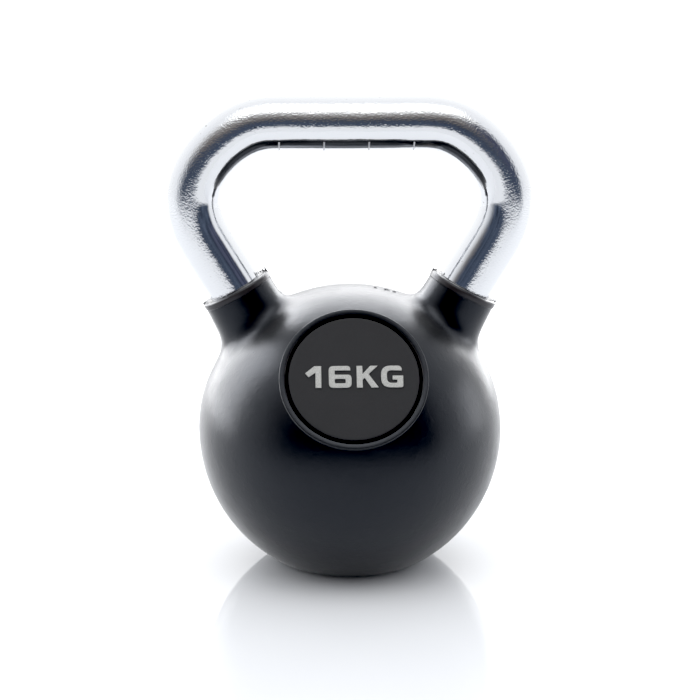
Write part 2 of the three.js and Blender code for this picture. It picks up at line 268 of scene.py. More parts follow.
def rim_centre(side):
    """Where the bar's axis passes the collar's rim on that side."""
    widest_z = HANDLE_TOP - SHOULDER_DROP
    tuck_x = HANDLE_HALF_WIDTH - SHOULDER_DROP * (1 - math.cos(LEG_TILT))
    tuck_z = widest_z - SHOULDER_DROP * math.sin(LEG_TILT)
    return np.array([side * (tuck_x - (tuck_z - COLLAR_TOP) * math.tan(LEG_TILT)), 0, COLLAR_TOP])


def collar_distance(p, side):
    """The collar without its lip: a slightly conical neck that reaches down into the ball."""
    depth, across = rim_frame(p, side)
    neck_radius = COLLAR_RADIUS - LIP_STEP + NECK_TAPER * np.maximum(depth, 0)
    neck = rounded_intersection(across - neck_radius, -depth, LIP_ROUNDING)
    return np.maximum(neck, depth - COLLAR_LENGTH)


def lip_distance(p, side):
    """The lip: a short cylinder at the rim, one step wider than the neck."""
    depth, across = rim_frame(p, side)
    ring = rounded_intersection(across - COLLAR_RADIUS, -depth, LIP_ROUNDING)
    return rounded_intersection(ring, depth - LIP_HEIGHT, LIP_UNDERCUT_ROUNDING)


def seam_height(p):
    """Height of the parting line, which runs round the ball and up the collars in the handle's plane."""
    return SEAM_HEIGHT * np.exp(-((p[:, 1] / SEAM_WIDTH) ** 2))


def jacket_distance(p):
    """Ball, collars with their lips, parting line and flat base, without the bezel."""
    distance = ball_distance(p)
    for side in SIDES:
        distance = smooth_union(distance, collar_distance(p, side), COLLAR_BLEND)
    distance = distance - seam_height(p)
    for side in SIDES:
        distance = fillet_union(distance, lip_distance(p, side), LIP_FILLET)
    return rounded_intersection(distance, -p[:, 2], BASE_ROUNDING)


def gradient(field, p, h=0.04):
    """Slope of the field at points, by central differences."""
    g = np.empty_like(p)
    for axis in range(3):
        step = np.zeros(3)
        step[axis] = h
        g[:, axis] = (field(p + step) - field(p - step)) / (2 * h)
    return g


def settle(field, p, rounds=3, most=1.5):
    """Moves points along the field's gradient on to its zero surface, by so much a round at most."""
    for _ in range(rounds):
        g = gradient(field, p)
        size = (g**2).sum(1) + 1e-9
        move = field(p) / size
        move = np.clip(move, -most, most)
        p = p - move[:, None] * g
    return p


# ---- Surface from a field ----


def surface_net(field, low, high, pitch):
    """Quads round the field's zero surface on a grid whose cells are centred on x = 0 and y = 0."""
    axes = []
    for axis in range(3):
        first = math.floor(low[axis] / pitch) - 0.5
        axes.append(pitch * np.arange(first, high[axis] / pitch + 1.5))
    shape = tuple(len(a) for a in axes)
    grid = np.stack(np.meshgrid(*axes, indexing="ij"), -1).reshape(-1, 3)
    value = field(grid).reshape(shape)
    inside = value < 0
    cells = tuple(n - 1 for n in shape)
    total = np.zeros(cells + (3,))
    hits = np.zeros(cells)
    corners = [(i, j, k) for i in (0, 1) for j in (0, 1) for k in (0, 1)]
    for axis in range(3):
        for i, j, k in corners:
            if (i, j, k)[axis]:
                continue
            near = tuple(slice(o, o + n) for o, n in zip((i, j, k), cells))
            far_offset = [i, j, k]
            far_offset[axis] = 1
            far = tuple(slice(o, o + n) for o, n in zip(far_offset, cells))
            crosses = inside[near] != inside[far]
            share = np.where(crosses, value[near] / (value[near] - value[far] + 1e-12), 0)
            for other in range(3):
                offset = (i, j, k)[other] + (share if other == axis else 0)
                total[..., other] += np.where(crosses, offset, 0)
            hits += crosses
    active = hits > 0
    number = -np.ones(cells, int)
    number[active] = np.arange(active.sum())
    index = np.argwhere(active)
    origin = np.array([a[0] for a in axes])
    points = origin + pitch * (index + total[active] / hits[active][:, None])
    quads = []
    for axis in range(3):
        one, two = [a for a in range(3) if a != axis]
        start = np.argwhere(np.diff(inside.astype(int), axis=axis) != 0)
        inner = (start[:, one] > 0) & (start[:, two] > 0)
        inner &= (start[:, one] < cells[one]) & (start[:, two] < cells[two])
        start = start[inner]
        leaves = inside[tuple(start.T)]
        ring = []
        for a, b in ((0, 0), (1, 0), (1, 1), (0, 1)):
            cell = start.copy()
            cell[:, one] -= a
            cell[:, two] -= b
            ring.append(number[tuple(cell.T)])
        quad = np.stack(ring, 1)
        flip = leaves if axis != 1 else ~leaves
        quad[~flip] = quad[~flip][:, ::-1]
        quads.append(quad)
    return points, np.vstack(quads)


def relax(points, quads, field, rounds=4, share=0.5):
    """Evens out the points along the surface and settles them on it again."""
    pairs = np.vstack([quads[:, [0, 1]], quads[:, [1, 2]], quads[:, [2, 3]], quads[:, [3, 0]]])
    pairs = np.vstack([pairs, pairs[:, ::-1]])
    count = np.bincount(pairs[:, 0], minlength=len(points))[:, None]
    for _ in range(rounds):
        mean = np.stack([
            np.bincount(pairs[:, 0], weights=points[pairs[:, 1], axis], minlength=len(points))
            for axis in range(3)
        ], 1) / count
        points = settle(field, points + share * (mean - points), rounds=2)
    return points


def near_features(p, reach):
    """Where the jacket needs small faces: along the seam and round the lips."""
    seam_share = 0.6
    inside_rim = 4.0
    outermost = 24.0
    near = near_seam(p, seam_share * reach)
    for side in SIDES:
        depth, across = rim_frame(p, side)
        round_rim = (across > COLLAR_RADIUS - inside_rim - reach) & (across < outermost)
        near |= (depth < LIP_HEIGHT + reach) & round_rim
    return near


def near_seam(p, reach):
    """Where the jacket is close to the parting plane."""
    return np.abs(p[:, 1]) < reach


def refine(mesh, field, is_near, reach):
    """Halves the edges near some feature, and settles the new points on the field."""
    bm = bmesh.new()
    bm.from_mesh(mesh)
    bm.verts.ensure_lookup_table()
    points = np.array([v.co for v in bm.verts])
    near = is_near(points, reach)
    edges = [e for e in bm.edges if near[e.verts[0].index] and near[e.verts[1].index]]
    bmesh.ops.subdivide_edges(bm, edges=edges, cuts=1, use_grid_fill=True)
    bm.verts.index_update()
    points = settle(field, np.array([v.co for v in bm.verts]), rounds=3)
    for v, co in zip(bm.verts, points):
        v.co = co
    bm.to_mesh(mesh)
    bm.free()


# ---- Mesh helpers ----


def mesh_from(name, points, faces):
    mesh = bpy.data.meshes.new(name)
    mesh.from_pydata([tuple(p) for p in points], [], [tuple(f) for f in faces])
    mesh.validate()
    return mesh


def link(name, mesh):
    piece = bpy.data.objects.new(name, mesh)
    bpy.context.scene.collection.objects.link(piece)
    return piece


def rings_mesh(name, rings):
    """A tube of quads through rings of points, with one flat face over each end."""
    count = len(rings[0])
    points = np.vstack(rings)
    faces = []
    for ring in range(len(rings) - 1):
        for i in range(count):
            j = (i + 1) % count
            a, b = ring * count, (ring + 1) * count
            faces.append((a + i, a + j, b + j, b + i))
    faces.append(tuple(range(count))[::-1])
    faces.append(tuple(range((len(rings) - 1) * count, len(rings) * count)))
    return mesh_from(name, points, faces)


def turned_rings(profile, count, placement):
    """Rings of a solid of revolution about the placement's +Z, from [radius, height] points."""
    angle = np.linspace(0, 2 * math.pi, count, endpoint=False)
    matrix = np.array(placement)
    rings = []
    for radius, height in profile:
        ring = np.c_[radius * np.cos(angle), radius * np.sin(angle), np.full(count, height)]
        rings.append(ring @ matrix[:3, :3].T + matrix[:3, 3])
    return rings


def bar_rings(radius, count, past_end=0.0):
    """Rings of a bar round the handle's centreline, which may reach a little past both of its ends."""
    line = centreline()
    tangent = np.gradient(line, axis=0)
    tangent /= np.linalg.norm(tangent, axis=1)[:, None]
    line[0] -= tangent[0] * past_end
    line[-1] += tangent[-1] * past_end
    angle = np.linspace(0, 2 * math.pi, count, endpoint=False)
    rings = []
    for (x, z), (tx, tz) in zip(line, tangent):
        ring = np.empty((count, 3))
        ring[:, 0] = x - tz * radius * np.cos(angle)
        ring[:, 1] = radius * np.sin(angle)
        ring[:, 2] = z + tx * radius * np.cos(angle)
        rings.append(ring)
    return rings


def finish_piece(piece, material, node):
    """Turns a piece modelled in millimetres into metres and ties it to the frame."""
    piece.data.transform(Matrix.Scale(MM, 4))
    piece.data.materials.clear()
    piece.data.materials.append(material)
    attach(piece, "root")
    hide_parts(node)


def face_out(mesh):
    """Turns a closed mesh's faces outwards."""
    bm = bmesh.new()
    bm.from_mesh(mesh)
    bmesh.ops.recalc_face_normals(bm, faces=bm.faces)
    bm.to_mesh(mesh)
    bm.free()


# ---- Jacket ----


def tool_from_node(node, grow):
    """A closed copy of a hidden CAD piece, in mm and swollen by grow, to cut room for it."""
    mesh = NODES[node].data.copy()
    mesh.transform(Matrix.Scale(1 / MM, 4))
    bm = bmesh.new()
    bm.from_mesh(mesh)
    bmesh.ops.remove_doubles(bm, verts=bm.verts, dist=1e-3)
    bmesh.ops.recalc_face_normals(bm, faces=bm.faces)
    bm.normal_update()
    for v in bm.verts:
        v.co += v.normal * grow * v.calc_shell_factor()
    bm.to_mesh(mesh)
    bm.free()
    return link(node + "_tool", mesh)


def combine(piece, joined, taken_away):
    """Joins tools on to a piece, then cuts others out of it."""
    for tool in joined + taken_away:
        modifier = piece.modifiers.new(tool.name, "BOOLEAN")
        modifier.operation = "UNION" if tool in joined else "DIFFERENCE"
        modifier.solver = "MANIFOLD"
        modifier.object = tool
    graph = bpy.context.evaluated_depsgraph_get()
    mesh = bpy.data.meshes.new_from_object(piece.evaluated_get(graph), depsgraph=graph)
    piece.modifiers.clear()
    piece.data = mesh
    for tool in joined + taken_away:
        bpy.data.objects.remove(tool)


def turned_tool(name, profile, placement, count=160):
    """A solid of revolution to join to the jacket or cut out of it."""
    mesh = rings_mesh(name, turned_rings(profile, count, placement))
    face_out(mesh)
    return link(name, mesh)


def bezel_tool():
    """The raised ring round the badge, as a solid boss whose middle the pocket takes away."""
    profile = [(TOOL_HUB, BEZEL_ROOT), (BEZEL_OUTER_RADIUS, BEZEL_ROOT)]
    for angle in np.linspace(0, math.pi / 2, 6):
        profile.append((
            BEZEL_OUTER_RADIUS - BEZEL_ROUNDING * (1 - math.cos(angle)),
            BEZEL_HEIGHT - BEZEL_ROUNDING * (1 - math.sin(angle)),
        ))
    profile.append((TOOL_HUB, BEZEL_HEIGHT))
    return turned_tool("bezel_tool", profile, badge_placement(), count=200)


def pocket_tool():
    """What the badge's pocket leaves out of the jacket: a V-shaped groove, and a soft edge to the bezel."""
    lap = 0.5  # of the groove, under the badge and up the bezel's wall
    above = 0.05  # the bezel, where the pocket's mouth turns upright
    top = 100.0
    middle = (BADGE_RADIUS + BEZEL_INNER_RADIUS) / 2
    mouth = BEZEL_INNER_RADIUS + BEZEL_SOFTENING
    profile = [
        (TOOL_HUB, POCKET_FLOOR),
        (BADGE_RADIUS - lap, POCKET_FLOOR),
        (middle, POCKET_FLOOR - GROOVE_DEPTH),
        (BEZEL_INNER_RADIUS, POCKET_FLOOR + lap),
    ]
    for angle in np.radians([0, 20, 40, 60, 75]):
        profile.append((
            BEZEL_INNER_RADIUS + BEZEL_SOFTENING * (1 - math.cos(angle)),
            BEZEL_HEIGHT - BEZEL_SOFTENING * (1 - math.sin(angle)),
        ))
    profile += [(mouth, BEZEL_HEIGHT + above), (mouth, top), (TOOL_HUB, top)]
    return turned_tool("pocket_tool", profile, badge_placement(), count=200)


def dish_tool(side):
    """What the rim's dished face leaves out of the collar."""
    tilt = Matrix.Rotation(side * COLLAR_TILT, 4, "Y")
    placement = Matrix.Translation(rim_centre(side)) @ tilt
    slope = DISH_WIDTH / DISH_DEPTH
    above = 0.5  # the rim
    profile = [
        (TOOL_HUB, -DISH_DEPTH),
        (BAR_RADIUS + GAP, -DISH_DEPTH),
        (BAR_RADIUS + DISH_WIDTH + above * slope, above),
        (TOOL_HUB, above),
    ]
    return turned_tool("dish_tool", profile, placement)


def torn_flash(name, foot, tilt, reach, height):
    """A thin jagged scrap standing in the parting plane on a foot, with tips of several heights."""
    outline = [(-reach, -FLASH_FOOT)]
    for i, place in enumerate(np.linspace(-1, 1, 9)):
        tip = chance.uniform(0.5, 1.0) if i % 2 else chance.uniform(-0.1, 0.3)
        outline.append((place * reach + chance.uniform(-0.1, 0.1) * reach, tip * height))
    outline.append((reach, -FLASH_FOOT))
    turn = Matrix.Rotation(tilt, 3, "Y")
    half = FLASH_THICKNESS / 2
    rings = [[tuple(Vector(foot) + turn @ Vector((a, y, b))) for a, b in outline] for y in (-half, half)]
    mesh = rings_mesh(name, rings)
    face_out(mesh)
    return link(name, mesh)


def flash_scraps():
    """Torn flash at the corners of both rims, and flecks of it on the crown."""
    under_rim = 0.3
    scraps = []
    for side in SIDES:
        tilt = side * COLLAR_TILT
        turn = Matrix.Rotation(tilt, 3, "Y")
        for across, (reach, height) in (
            (-side * (COLLAR_RADIUS - INNER_FLASH[side][0]), INNER_FLASH[side]),
            (side * (COLLAR_RADIUS - OUTER_FLASH_INSET), OUTER_FLASH),
        ):
            foot = Vector(rim_centre(side)) + turn @ Vector((across, 0, -under_rim))
            scraps.append(torn_flash("rim_flash", foot, tilt, reach, height))
    for x, reach in CROWN_FLASH:
        slope = math.asin(x / BALL_RADIUS)
        foot = (x, 0, CENTRE_HEIGHT + CROWN_HEIGHT * math.cos(slope))
        scraps.append(torn_flash("crown_flash", foot, slope, reach, CROWN_FLASH_HEIGHT))
    return scraps


def shade_from_field(mesh, field, tolerance=0.06):
    """Gives the faces that lie on the field its own normals; the cut ones keep the mesh's."""
    mesh.shade_smooth()
    mesh.set_sharp_from_angle(angle=math.radians(30))
    vertex = np.empty(len(mesh.loops), int)
    mesh.loops.foreach_get("vertex_index", vertex)
    sizes = np.empty(len(mesh.polygons), int)
    mesh.polygons.foreach_get("loop_total", sizes)
    centres = np.empty(len(mesh.polygons) * 3)
    mesh.polygons.foreach_get("center", centres)
    points = np.empty(len(mesh.vertices) * 3)
    mesh.vertices.foreach_get("co", points)
    normals = gradient(field, points.reshape(-1, 3))
    normals /= np.linalg.norm(normals, axis=1)[:, None] + 1e-9
    on_field = np.abs(field(centres.reshape(-1, 3))) < tolerance
    normals = normals[vertex] * np.repeat(on_field, sizes)[:, None]
    mesh.normals_split_custom_set([tuple(n) for n in normals])


def make_jacket(material):
    """The moulded rubber: its skin from the field, with the bezel joined on and the rooms inside cut out."""
    margin = 6
    points, quads = surface_net(jacket_distance, jacket_low - margin, jacket_high + margin, pitch=2.2)
    points = relax(settle(jacket_distance, points, rounds=4), quads, jacket_distance)
    mesh = mesh_from("rubber_jacket_skin", points, quads)
    refine(mesh, jacket_distance, near_features, reach=3.2)
    refine(mesh, jacket_distance, near_features, reach=1.4)
    refine(mesh, jacket_distance, near_seam, reach=0.8)
    face_out(mesh)
    jacket = link("rubber_jacket_skin", mesh)
    bar = link("bar_tool", rings_mesh("bar_tool", bar_rings(BAR_RADIUS + GAP, count=72, past_end=GAP)))
    face_out(bar.data)
    rooms = [bar, pocket_tool()]
    rooms += [dish_tool(side) for side in SIDES]
    rooms += [tool_from_node(node, GAP) for node in ("iron_core", "left_weld_bead", "right_weld_bead")]
    combine(jacket, [bezel_tool()] + flash_scraps(), rooms)
    shade_from_field(jacket.data, jacket_distance)
    finish_piece(jacket, material, "rubber_jacket")
    return jacket


# ---- Handle ----


def make_handle(material):
    """The one bent bar, from the end of its left leg to that of its right."""
    mesh = rings_mesh("chrome_handle_bar", bar_rings(BAR_RADIUS, count=96))
    face_out(mesh)
    handle = link("chrome_handle_bar", mesh)
    mesh.polygons.foreach_set("use_smooth", np.ones(len(mesh.polygons), bool))
    finish_piece(handle, material, "chrome_handle")


# ---- Badge ----


def badge_placement():
    """Placement whose +Z is the badge's outward axis, from the ball's centre. +Y is up the badge."""
    lift = Matrix.Translation((0, 0, CENTRE_HEIGHT))
    return lift @ Matrix.Rotation(math.pi / 2 - BADGE_LATITUDE, 4, "X")


def make_badge(material):
    """A flat plate with a rounded rim."""
    hub = 2
    inset = 2  # of the face's outermost ring from the rim
    back = BADGE_FACE - BADGE_THICKNESS
    profile = [(hub, back), (BADGE_RADIUS, back)]
    for angle in np.linspace(0, math.pi / 2, 6):
        profile.append((
            BADGE_RADIUS - BADGE_ROUNDING * (1 - math.cos(angle)),
            BADGE_FACE - BADGE_ROUNDING * (1 - math.sin(angle)),
        ))
    for radius in np.linspace(BADGE_RADIUS - inset, hub, 12):
        profile.append((radius, BADGE_FACE))
    mesh = rings_mesh("badge_plate", turned_rings(profile, 160, badge_placement()))
    face_out(mesh)
    badge = link("badge_plate", mesh)
    mesh.shade_smooth()
    mesh.set_sharp_from_angle(angle=math.radians(35))
    finish_piece(badge, material, "badge")


def rounded_outline(points, steps=8):
    """A closed outline round [x, y, corner radius] points; a corner without a radius is nearly sharp."""
    sharp = 0.12
    small = 0.3  # radius up to which a corner takes fewer steps
    corners = [(np.array(p[:2], float), p[2] if len(p) > 2 else sharp) for p in points]
    outline = []
    for i, (at, radius) in enumerate(corners):
        before = corners[i - 1][0] - at
        after = corners[(i + 1) % len(corners)][0] - at
        start = at + before / np.linalg.norm(before) * radius
        end = at + after / np.linalg.norm(after) * radius
        for t in np.linspace(0, 1, steps if radius > small else 3):
            outline.append(start * (1 - t) ** 2 + at * 2 * t * (1 - t) + end * t**2)
    return outline


def glyph_outlines():
    """Plain block characters built on one stroke width: name, left edge, and outlines on y = 0."""
    h, s = GLYPH_HEIGHT, GLYPH_STROKE
    waist = 0.6 * h
    wide = 11.9
    one = [(5.4, 0), (5.4 + s, 0), (5.4 + s, h), (4.9, h), (0, h - 4), (1.8, h - 6.2), (5.4, h - 3.6)]
    six = [
        (0, 0, 2.6), (wide, 0, 2.6), (wide, waist, 2.2), (s, waist), (s, h - 0.8 * s),
        (wide - 0.6, h - 0.8 * s), (wide - 0.6, h, 1.8), (0, h, 2.6),
    ]
    bowl = [
        (s, 0.8 * s, 0.8), (s, waist - 0.75 * s, 0.8), (wide - s, waist - 0.75 * s, 0.8),
        (wide - s, 0.8 * s, 0.8),
    ]
    k_wide, arm = 11.5, 1.25 * s
    k = [
        (0, 0), (s, 0), (s, 0.36 * h), (s + 1.1, 0.45 * h), (k_wide - arm, 0), (k_wide, 0),
        (s + 3.2, 0.62 * h), (k_wide - 0.4, h), (k_wide - 0.4 - arm, h), (s, 0.62 * h), (s, h), (0, h),
    ]
    g_wide, bar = 11.6, 0.54 * h
    g = [
        (0, 0, 5.2), (g_wide, 0, 1.4), (g_wide, bar), (0.52 * g_wide, bar),
        (0.52 * g_wide, bar - 0.72 * s), (g_wide - s, bar - 0.72 * s), (g_wide - s, 0.8 * s, 0.8),
        (s, 0.8 * s, 2.6), (s, h - 0.8 * s, 2.6), (g_wide - 0.6, h - 0.9 * s), (g_wide - 0.8, h, 2.2),
        (0, h, 5.2),
    ]
    return [
        ("digit_1", -25.6, [one]),
        ("digit_6", -13.2, [six, bowl]),
        ("letter_k", 1.4, [k]),
        ("letter_g", 14.2, [g]),
    ]


def make_glyph(name, left, outlines, material):
    """A raised character with a softened edge."""
    curve = bpy.data.curves.new(name, "CURVE")
    curve.dimensions = "2D"
    curve.fill_mode = "BOTH"
    curve.extrude = GLYPH_THICKNESS / 2 - GLYPH_BEVEL
    curve.bevel_depth = GLYPH_BEVEL
    curve.bevel_resolution = 3
    curve.offset = -GLYPH_BEVEL
    for outline in outlines:
        points = rounded_outline(outline)
        spline = curve.splines.new("POLY")
        spline.points.add(len(points) - 1)
        for point, (x, y) in zip(spline.points, points):
            point.co = (x + left, y + GLYPH_MIDDLE - GLYPH_HEIGHT / 2, 0, 1)
        spline.use_cyclic_u = True
    source = bpy.data.objects.new(name, curve)
    bpy.context.scene.collection.objects.link(source)
    graph = bpy.context.evaluated_depsgraph_get()
    mesh = bpy.data.meshes.new_from_object(source.evaluated_get(graph), depsgraph=graph)
    bpy.data.objects.remove(source)
    bm = bmesh.new()
    bm.from_mesh(mesh)
    bmesh.ops.remove_doubles(bm, verts=bm.verts, dist=1e-4)
    bmesh.ops.recalc_face_normals(bm, faces=bm.faces)
    bm.to_mesh(mesh)
    bm.free()
    seat = Matrix.Translation((0, 0, BADGE_FACE + GLYPH_THICKNESS / 2))
    mesh.transform(badge_placement() @ seat)
    glyph = link(name + "_raised", mesh)
    mesh.shade_smooth()
    mesh.set_sharp_from_angle(angle=math.radians(40))
    finish_piece(glyph, material, name)


# ---- Node trees ----


class Nodes:
    """A small helper for building a node tree."""

    def __init__(self, tree):
        self.tree = tree

    def add(self, kind, inputs=None, **settings):
        node = self.tree.nodes.new(kind)
        for key, value in settings.items():
            setattr(node, key, value)
        for key, value in (inputs or {}).items():
            self.feed(node.inputs[key], value)
        return node

    def feed(self, socket, value):
        """Links a socket to another node's output, or sets its own value."""
        if isinstance(value, bpy.types.NodeSocket):
            self.tree.links.new(value, socket)
        else:
            socket.default_value = value

    def noise(self, place, scale, detail=2.0, roughness=0.5):
        inputs = {"Vector": place, "Scale": scale, "Detail": detail, "Roughness": roughness}
        return self.add("ShaderNodeTexNoise", inputs).outputs["Fac"]

    def ramp(self, value, low, high, first=0.0, last=1.0, shape="LINEAR"):
        inputs = {"Value": value, "From Min": low, "From Max": high, "To Min": first, "To Max": last}
        return self.add("ShaderNodeMapRange", inputs, interpolation_type=shape).outputs["Result"]

    def fade(self, value, low, high):
        """Rises smoothly from 0 to 1 between two values, or falls where the first is the higher."""
        return self.ramp(value, low, high, shape="SMOOTHSTEP")

    def math(self, operation, a, b=0.0):
        return self.add("ShaderNodeMath", {0: a, 1: b}, operation=operation).outputs[0]

    def vector(self, operation, inputs):
        return self.add("ShaderNodeVectorMath", inputs, operation=operation).outputs

    def split(self, vector):
        return self.add("ShaderNodeSeparateXYZ", {0: vector}).outputs

    def mix(self, share, a, b):
        node = self.add("ShaderNodeMix", {"Factor": share, "A": a, "B": b}, data_type="RGBA")
        return node.outputs["Result"]


class Look(Nodes):
    """The node tree of one material."""

    SOCKETS = {
        "color": "Base Color",
        "metallic": "Metallic",
        "roughness": "Roughness",
        "normal": "Normal",
        "specular": "Specular IOR Level",
        "tint": "Specular Tint",
        "sheen": "Sheen Weight",
        "sheen_roughness": "Sheen Roughness",
    }

    def __init__(self, name):
        self.material = bpy.data.materials.new(name)
        self.material.use_nodes = True
        super().__init__(self.material.node_tree)
        self.shader = self.tree.nodes["Principled BSDF"]
        self.place = self.add("ShaderNodeTexCoord").outputs["Object"]

    def grain(self, scale, detail=2.0, roughness=0.5):
        """Noise fixed to the object."""
        return self.noise(self.place, scale, detail, roughness)

    def bump(self, height, distance, strength, normal=None):
        inputs = {"Height": height, "Distance": distance, "Strength": strength}
        if normal is not None:
            inputs["Normal"] = normal
        return self.add("ShaderNodeBump", inputs).outputs["Normal"]

    def set(self, **values):
        for key, value in values.items():
            self.feed(self.shader.inputs[self.SOCKETS[key]], value)
        return self.material


# ---- Materials, with lengths in metres ----


def painted_reflection_streaks(n, geometry):
    """Pale streaks of painted reflection across the underside of the grip, evenly spaced."""
    left_end, right_end = STREAK_LIMITS
    x = n.math("MULTIPLY", n.split(geometry["Position"])["X"], 1 / MM)
    place = n.math("MULTIPLY", n.math("SUBTRACT", x, STREAK_START), 1 / STREAK_SPACING)
    painted_streaks = n.math("LESS_THAN", n.math("FRACT", place), STREAK_SHARE)
    painted_streaks = n.math("MULTIPLY", painted_streaks, n.math("GREATER_THAN", x, left_end))
    painted_streaks = n.math("MULTIPLY", painted_streaks, n.math("LESS_THAN", x, right_end))
    facing = n.split(geometry["Normal"])["Z"]
    return n.math("MULTIPLY", painted_streaks, n.math("LESS_THAN", facing, STREAK_FACING))


def chrome_material():
    """Worn rough like orange peel on the hoop's outer side, smooth on its inner side."""
    chrome = (0.73, 0.74, 0.755, 1)
    bare_iron = (0.2, 0.18, 0.17, 1)
    # painted reflection: the paler colour of the streaks on the grip's underside
    painted_streak_color = (0.9, 0.9, 0.92, 1)
    n = Look("chrome")
    geometry = n.add("ShaderNodeNewGeometry").outputs
    out = n.vector("SUBTRACT", {0: geometry["Position"], 1: tuple(HOOP_MIDDLE * MM)})[0]
    out = n.vector("NORMALIZE", {0: out})[0]
    out = n.vector("DOT_PRODUCT", {0: out, 1: geometry["Normal"]})["Value"]
    worn = n.ramp(out, -0.1, 0.35)
    peel = n.math("MULTIPLY", n.grain(1050), n.ramp(worn, 0, 1, 0.08, 1))
    pits = n.ramp(n.grain(420, roughness=0.6), 0.70, 0.78)
    pits = n.math("MULTIPLY", pits, n.ramp(n.grain(60), 0.45, 0.65))
    # painted reflection: pale streaks on the underside, which are also made rougher
    painted_streaks = painted_reflection_streaks(n, geometry)
    color = n.mix(painted_streaks, n.mix(pits, chrome, bare_iron), painted_streak_color)
    normal = n.bump(n.grain(70), distance=0.0004, strength=0.5)
    normal = n.bump(peel, distance=0.00024, strength=0.7, normal=normal)
    normal = n.bump(pits, distance=0.00012, strength=-0.6, normal=normal)
    roughness = n.ramp(n.grain(160, detail=3), 0.3, 0.75, 0.035, 0.08)
    roughness = n.math("ADD", roughness, n.math("MULTIPLY", painted_streaks, 0.5))
    return n.set(color=color, metallic=1.0, roughness=roughness, normal=normal)


def lip_band(n):
    """1 in the band of the lips below both rims, where a paler colour is painted as sheen, and 0 on the rest
    of the jacket.
    """
    position = n.split(n.add("ShaderNodeNewGeometry").outputs["Position"])
    centre = rim_centre(1) * MM
    lip = LIP_HEIGHT * MM
    out = n.math("SUBTRACT", n.math("ABSOLUTE", position["X"]), centre[0])
    up = n.math("SUBTRACT", position["Z"], centre[2])
    along_x = n.math("MULTIPLY", out, math.sin(COLLAR_TILT))
    along_z = n.math("MULTIPLY", up, math.cos(COLLAR_TILT))
    rise = n.math("ADD", along_x, along_z)
    band = n.ramp(rise, -lip, -0.8 * lip)
    return n.math("MULTIPLY", band, n.ramp(rise, -0.15 * lip, -0.05 * lip, 1, 0))


def rubber_material():
    """Black rubber with faint clouds and smears, and a paler band of painted sheen on the lips."""
    black = (0.003, 0.003, 0.0034, 1)
    clouded = (0.0055, 0.0056, 0.0062, 1)
    # painted sheen: a paler brownish colour standing in for the light the lips catch
    painted_lip_sheen = (0.03, 0.025, 0.023, 1)
    cool_tint = (0.84, 0.89, 1.0, 1)
    n = Look("rubber")
    cloud = n.grain(38, detail=4, roughness=0.6)
    fine = n.grain(1500, detail=3, roughness=0.65)
    smear = n.ramp(n.grain(24, detail=5, roughness=0.7), 0.52, 0.72)
    mottling = n.ramp(n.grain(170, detail=4, roughness=0.7), 0.5, 0.75)
    color = n.mix(n.ramp(cloud, 0.3, 0.8), black, clouded)
    # painted sheen on the lips
    color = n.mix(lip_band(n), color, painted_lip_sheen)
    roughness = n.ramp(cloud, 0.25, 0.8, 0.27, 0.33)
    roughness = n.math("ADD", roughness, n.math("MULTIPLY", smear, 0.10))
    normal = n.bump(n.grain(45), distance=0.0006, strength=0.3)
    normal = n.bump(mottling, distance=0.0001, strength=0.45, normal=normal)
    normal = n.bump(fine, distance=0.00006, strength=0.5, normal=normal)
    n.set(color=color, roughness=roughness, normal=normal)
    return n.set(tint=cool_tint, sheen=0.3, sheen_roughness=0.35)


def badge_material():
    """Matt dark plate with a fine grain."""
    dark, light = (0.020, 0.020, 0.022, 1), (0.026, 0.026, 0.029, 1)
    n = Look("badge")
    fine = n.grain(2200, detail=3, roughness=0.7)
    color = n.mix(n.grain(55, detail=3), dark, light)
    roughness = n.ramp(fine, 0.3, 0.7, 0.55, 0.7)
    return n.set(color=color, roughness=roughness, normal=n.bump(fine, distance=0.0001, strength=0.6))


def character_material():
    """Pale paint with a fine fleck."""
    dark, light = (0.42, 0.42, 0.40, 1), (0.72, 0.72, 0.69, 1)
    n = Look("character")
    fleck = n.grain(2600, roughness=0.8)
    color = n.mix(n.ramp(fleck, 0.35, 0.65), dark, light)
    normal = n.bump(fleck, distance=0.00008, strength=0.5)
    return n.set(color=color, roughness=0.5, metallic=0.0, normal=normal)


def hidden_material(name, dark, light, metallic, roughness, scale):
    """For the pieces inside, seen only when the object is taken apart."""
    n = Look(name)
    grain = n.grain(scale, detail=4, roughness=0.6)
    color = n.mix(n.ramp(grain, 0.3, 0.7), dark, light)
    spread = n.ramp(grain, 0.3, 0.7, roughness - 0.08, roughness + 0.08)
    normal = n.bump(grain, distance=0.0004, strength=0.6)
    return n.set(color=color, metallic=metallic, roughness=spread, normal=normal)


# ---- Stage, with lengths in metres ----


def make_floor():
    """A wide pale table: its far part, and the part in front, which mirror reflections don't show."""
    side, front, edge, back = 6.0, -6.0, -0.45, 8.0
    n = Look("floor")
    n.set(color=(0.785, 0.80, 0.825, 1), roughness=0.06, specular=0.5)
    parts = []
    for name, low, high in (("floor", edge, back), ("floor_front", front, edge)):
        points = [(-side, low, 0), (side, low, 0), (side, high, 0), (-side, high, 0)]
        part = link(name, mesh_from(name, points, [(0, 1, 2, 3)]))
        part.data.materials.append(n.material)
        parts.append(part)
    parts[1].visible_glossy = False
    return parts


def wall_light(n, y, elevation):
    """White walls, a little brighter at the back, under a ceiling that is bright over the front half."""
    walls = n.mix(n.fade(y, -0.3, 0.9), FRONT_WALL, BACK_WALL)
    overhead = n.math("MULTIPLY", n.fade(elevation, *OVERHEAD_RISE), n.fade(y, 0.1, -0.1))
    return n.mix(overhead, walls, OVERHEAD)


